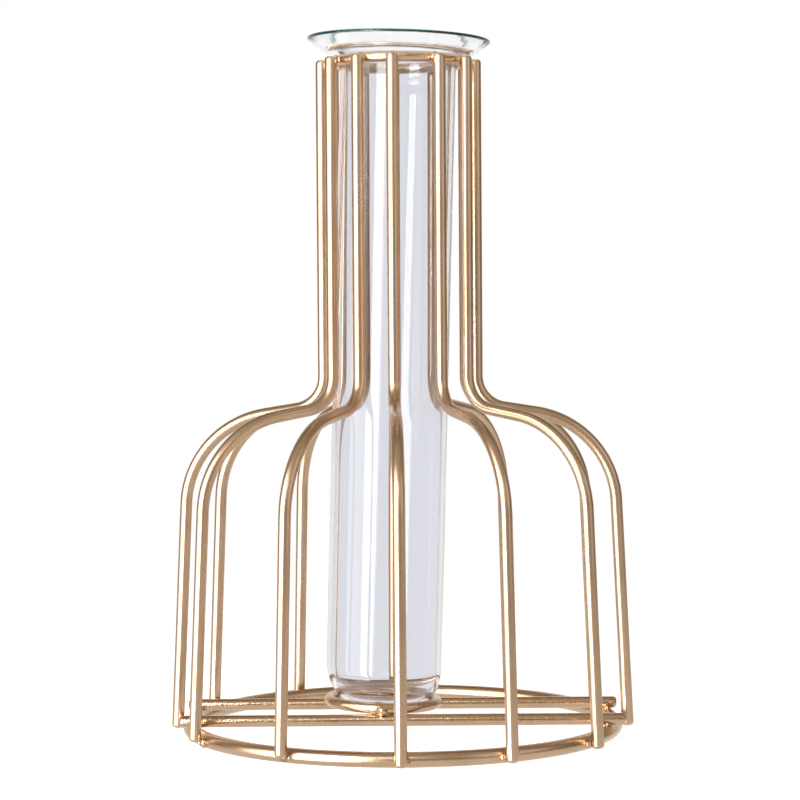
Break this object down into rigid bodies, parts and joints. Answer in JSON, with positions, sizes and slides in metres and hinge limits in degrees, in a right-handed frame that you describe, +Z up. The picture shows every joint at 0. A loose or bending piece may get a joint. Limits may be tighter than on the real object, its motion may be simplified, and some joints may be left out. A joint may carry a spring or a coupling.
{
  "type": "hydroponic vase",
  "caption": "Clear glass tube with a flared lip and a round foot, hanging by the lip in a bell-shaped cage of bent gold wire; holds stems or cuttings in water.",
  "frame": {"origin": "on the table, under the middle of the base ring", "axes": "+Z up; the front rib faces -Y; +X to the right as seen from the front"},
  "size_m": [0.1206, 0.1207, 0.1798],
  "materials": {
    "gold_wire": "satin champagne gold plating with a fine grain",
    "clear_glass": "clear polished glass"
  },
  "bodies": {
    "frame": {"base_ring": "gold_wire", "top_ring": "gold_wire", "crossbar_front": "gold_wire", "crossbar_rear": "gold_wire", "seat_ring": "gold_wire", "rib_01": "gold_wire", "rib_02": "gold_wire", "rib_03": "gold_wire", "rib_04": "gold_wire", "rib_05": "gold_wire", "rib_06": "gold_wire", "rib_07": "gold_wire", "rib_08": "gold_wire", "rib_09": "gold_wire", "rib_10": "gold_wire", "rib_11": "gold_wire", "rib_12": "gold_wire"},
    "tube": {"glass_tube": "clear_glass"}
  },
  "joints": [
    {"name": "tube_lift", "type": "slide", "parent": "frame", "child": "tube", "axis": [0.0305, 0.023, 0.9993], "range_m": [0, 0.172]}
  ]
}
